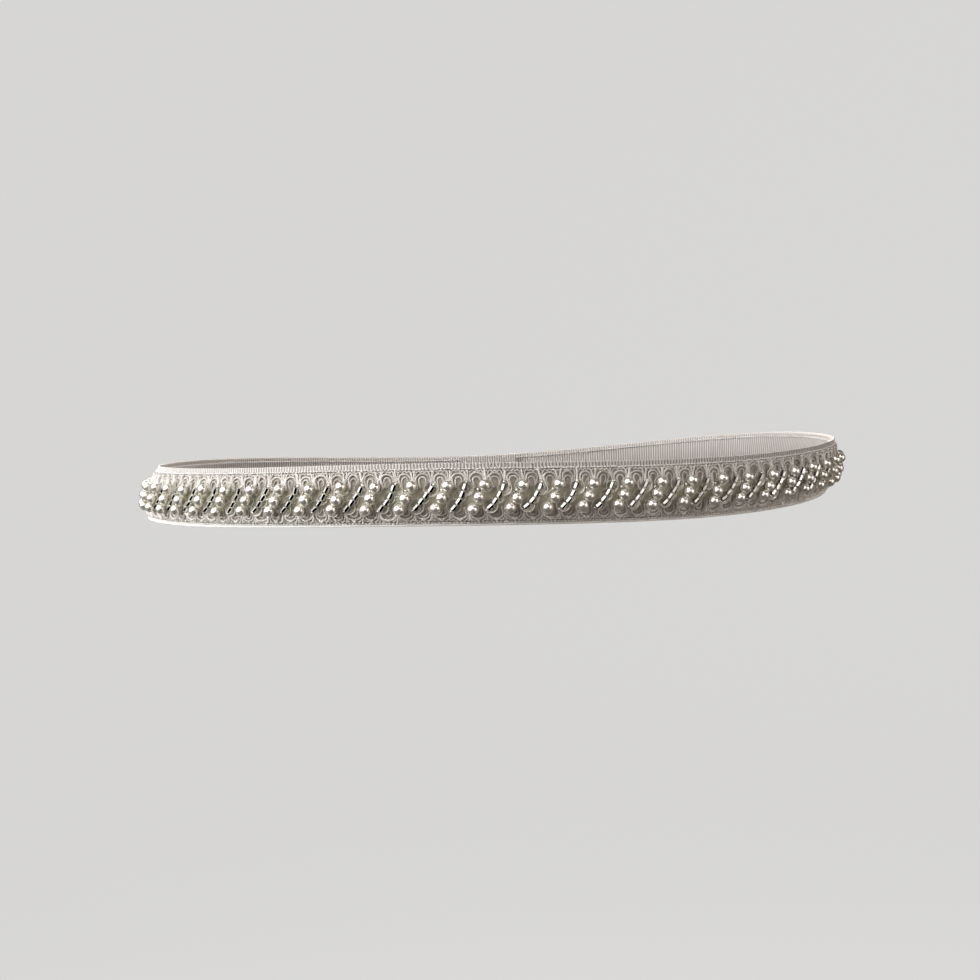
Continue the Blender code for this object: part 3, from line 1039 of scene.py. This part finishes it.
OUTSIDE = 0.2 * MM
INSIDE = -0.75 * MM
upper_row = row_along(BRAID_START + 1.0 * MM, BRAID_END - 1.0 * MM, 9.05 * MM)
lower_row = row_along(BRAID_START + 1.0 * MM, BRAID_END - 1.0 * MM, -9.85 * MM)
hem_row = row_up(half_turn + LAP / 2.0 - 6.5 * MM, -9.8 * MM, 10.2 * MM)
lay_stitches("stitches_upper", upper_row, OUTSIDE)
lay_stitches("stitches_lower", lower_row, OUTSIDE)
lay_stitches("stitches_hem", hem_row, OUTSIDE, upright=True)
lay_stitches("stitches_inside_upper", upper_row, INSIDE)
lay_stitches("stitches_inside_lower", lower_row, INSIDE)

# %% Bead threads
BEAD_THREAD_RADIUS = 0.14 * MM


def bead_thread_path(beads):
    """From the ground up through a row of beads and down into the ground again."""
    first = beads[0] + 0.9 * (beads[0] - beads[1])
    last = beads[-1] + 0.9 * (beads[-1] - beads[-2])
    for end in (first, last):
        end[1] = ground_face(end[2])
    return [first, *beads, last]


def thread_beads(name, rows):
    """Threads through rows of bead centres, in one mesh."""
    points = []
    for beads in rows:
        points.append(tube(bead_thread_path(beads), BEAD_THREAD_RADIUS, THREAD_SIDES))
    columns = len(points[0])
    faces = grid_faces(columns, THREAD_SIDES, wrap_rows=True) + end_caps(columns, THREAD_SIDES)
    faces = repeat_faces(faces, len(points), columns * THREAD_SIDES)
    return add_piece(name, roll(points).reshape(-1, 3), faces, white_thread)


thread_beads("threads_of_pearls", pearl_centres.reshape(-1, 3, 3))
thread_beads("threads_of_bugles", bugle_centres.reshape(-1, 4, 3))

# %% Threads of the hook and bar
HOOK_HALF = 2.8 * MM
HOOK_TURNS = (1.8 * MM, 2.6 * MM, 3.4 * MM, 4.2 * MM)
BAR_PLACE = 2.3 * MM
BAR_HALF = 0.9 * MM
BAR_TURNS = (-6.5 * MM, -5.8 * MM, -5.1 * MM, 5.1 * MM, 5.8 * MM, 6.5 * MM)


def thread_turn(half, cloth, over):
    """A (sideways, out) path from the cloth, over a metal strip, to the cloth again."""
    step = math.copysign(0.25 * MM, over - cloth)
    left = [(-half - 0.3 * MM, cloth), (-half - 0.2 * MM, over - step), (-half, over)]
    return left + [(-sideways, out) for sideways, out in reversed(left)]


def sew_closure():
    """Turns of thread over the hook's shank and over both feet of the bar."""
    hook_turn = thread_turn(HOOK_HALF, 2.9 * MM, 1.6 * MM)
    bar_turn = thread_turn(BAR_HALF, 0.0, 0.9 * MM)
    paths = [[(x, out, up) for up, out in hook_turn] for x in HOOK_TURNS]
    paths += [[(x - BAR_PLACE, out, up) for x, out in bar_turn] for up in BAR_TURNS]
    middle = line.place(half_turn, -UNDER_DIP, BEAD_LINE)
    points = [middle + tube(path, BEAD_THREAD_RADIUS, THREAD_SIDES) for path in paths]
    columns = len(hook_turn)
    faces = grid_faces(columns, THREAD_SIDES, wrap_rows=True) + end_caps(columns, THREAD_SIDES)
    faces = repeat_faces(faces, len(points), columns * THREAD_SIDES)
    points = np.reshape(points, (-1, 3))
    return add_piece("threads_of_closure", points, faces, white_thread)


sew_closure()

# %% [markdown]
# ## The closure's metal
#
# The hook and bar keep their solid shape, which is already right, and only take a new
# finish: nickel plate, brushed a little by use.

# %% Closure finish
def nickel_finish():
    finish = Finish("nickel_plate", Metallic=1.0)
    scratch = finish.noise(1800.0, 4.0)
    finish.colour(finish.mix(scratch, (0.52, 0.51, 0.49), (0.70, 0.69, 0.67)))
    finish.roughness(0.22 + 0.18 * scratch)
    finish.bump(scratch, 0.1, 0.02 * MM)
    return finish.material


nickel = nickel_finish()
for name in ("closure_hook", "closure_bar"):
    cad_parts[name].data.materials.clear()
    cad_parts[name].data.materials.append(nickel)

# %% [markdown]
# ## Counting the triangles
#
# Every piece is counted in triangles.

# %% Triangles in all
print(len(counts), "pieces have", sum(counts.values()), "triangles in all")

# %% [markdown]
# ## Floor, light and camera
#
# The sash hangs at a waist's height over a pale floor that curves up into a pale wall all
# round. The light is strongest from the upper left, as in the photograph, with weaker
# light from the right, above, below and behind. Cloth and beads need different light to
# look right, so some panels light only matt surfaces and others show only in gloss. The
# camera stands where the photograph was taken: about 55 cm from the middle of the waist,
# a little above it, and not quite level.

# %% Floor and backdrop
FLOOR = -1.0
ROOM = 4.0


def make_stage():
    """A round floor that sweeps up into a wall, as one turned sheet."""
    profile = [(0.02, 0.0), (1.0, 0.0), (ROOM - 1.0, 0.0)]
    for step in range(1, 9):
        angle = math.pi / 2.0 * step / 8
        profile.append((ROOM - 1.0 + math.sin(angle), 1.0 - math.cos(angle)))
    profile.append((ROOM, 6.0))
    sides = 64
    points = []
    for side in range(sides):
        turn = TURN * side / sides
        for radius, height in profile:
            points.append((radius * math.cos(turn), radius * math.sin(turn), FLOOR + height))
    mesh = bpy.data.meshes.new("pale_floor")
    faces = grid_faces(sides, len(profile), wrap_columns=True)
    faces.append(tuple(side * len(profile) for side in reversed(range(sides))))
    mesh.from_pydata(points, [], faces)
    mesh.shade_smooth()
    floor = bpy.data.objects.new("pale_floor", mesh)
    bpy.context.scene.collection.objects.link(floor)
    paint = Finish("pale_paint", Roughness=0.9, Emission_Strength=0.66)
    paint.shader.inputs["Emission Color"].default_value = (1.0, 0.995, 0.985, 1.0)
    paint.shader.inputs["Base Color"].default_value = (0.12, 0.12, 0.12, 1.0)
    mesh.materials.append(paint.material)
    floor.visible_glossy = False
    floor.visible_diffuse = False
    floor.visible_shadow = False
    return floor


make_stage()
print("the floor lies", -FLOOR, "m below the sash")

# %% Lights
def soft_light(name, place, size, power, colour):
    """A panel of light, so wide and so high, that faces the sash."""
    light = bpy.data.lights.new(name, "AREA")
    light.shape = "RECTANGLE"
    light.size, light.size_y = size
    light.energy = power
    light.color = colour
    lamp = bpy.data.objects.new(name, light)
    lamp.location = place
    lamp.rotation_euler = (-Vector(place)).to_track_quat("-Z", "Y").to_euler()
    lamp.visible_camera = False
    bpy.context.scene.collection.objects.link(lamp)
    return lamp


WARM = (1.0, 0.905, 0.845)
DAYLIGHT = (1.0, 0.985, 0.965)
MATT_LIGHTS = (
    ("side_left", (-1.2, -0.05, 0.0), (0.6, 0.1), 13.0, DAYLIGHT),
    ("side_right", (0.95, 0.8, 0.2), (0.5, 0.5), 5.0, WARM),
    ("key_left", (-0.64, -0.5, 0.56), (0.75, 0.75), 5.3, DAYLIGHT),
    ("overhead", (-0.1, -0.35, 1.1), (0.5, 0.5), 2.6, WARM),
    ("low_front", (0.1, -1.2, -0.35), (0.5, 0.5), 0.8, WARM),
    ("from_floor", (0.0, 0.3, -0.9), (0.9, 0.9), 5.0, WARM),
)
GLOSS_LIGHTS = (
    ("shine_left", (-0.45, -0.35, 0.39), (1.1, 1.1), 12.5, DAYLIGHT),
    ("shine_front", (0.15, -0.97, 0.48), (0.7, 0.4), 2.2, WARM),
    ("shine_right", (0.7, -0.4, 0.05), (0.8, 0.8), 1.9, WARM),
)
for name, place, size, power, colour in MATT_LIGHTS:
    soft_light(name, place, size, power, colour).visible_glossy = False
for name, place, size, power, colour in GLOSS_LIGHTS:
    soft_light(name, place, size, power, colour).visible_diffuse = False
soft_light("fill_right", (0.99, -0.62, 0.29), (0.4, 0.4), 2.4, WARM)
soft_light("behind", (-0.2, 1.2, 0.6), (0.8, 0.8), 12.0, WARM)

world = bpy.data.worlds.new("soft_room")
world.use_nodes = True
world.node_tree.nodes["Background"].inputs["Color"].default_value = (1.0, 0.9, 0.8, 1.0)
world.node_tree.nodes["Background"].inputs["Strength"].default_value = 0.1
world.cycles_visibility.glossy = False
bpy.context.scene.world = world
bpy.context.scene.view_settings.view_transform = "Standard"

# %% Camera
CAMERA_PLACE = Vector((1.8, -544.5, 25.1)) * MM
CAMERA_DOWN = 0.0547
CAMERA_YAW = -0.0049
CAMERA_ROLL = 0.0415
FOCAL_PIXELS = 1250.0
FRAME_PIXELS = 980.0
SENSOR = 36.0


def place_camera():
    """A camera from its heading: right, up and forward, with the photograph's roll."""
    yaw_cos, yaw_sin = math.cos(CAMERA_YAW), math.sin(CAMERA_YAW)
    down_cos, down_sin = math.cos(CAMERA_DOWN), math.sin(CAMERA_DOWN)
    level_right = Vector((yaw_cos, -yaw_sin, 0.0))
    forward = Vector((yaw_sin * down_cos, yaw_cos * down_cos, -down_sin))
    level_up = Vector((yaw_sin * down_sin, yaw_cos * down_sin, down_cos))
    right = level_right * math.cos(CAMERA_ROLL) - level_up * math.sin(CAMERA_ROLL)
    up = level_right * math.sin(CAMERA_ROLL) + level_up * math.cos(CAMERA_ROLL)
    lens = bpy.data.cameras.new("photo_camera")
    lens.sensor_width = SENSOR
    lens.lens = FOCAL_PIXELS / FRAME_PIXELS * SENSOR
    lens.clip_start = 0.01
    camera = bpy.data.objects.new("photo_camera", lens)
    camera.matrix_world = (
        Matrix.Translation(CAMERA_PLACE) @ Matrix((right, up, -forward)).transposed().to_4x4()
    )
    bpy.context.scene.collection.objects.link(camera)
    bpy.context.scene.camera = camera
    return camera


photo_camera = place_camera()
print("the lens is", round(photo_camera.data.lens, 1), "mm on a", SENSOR, "mm sensor")
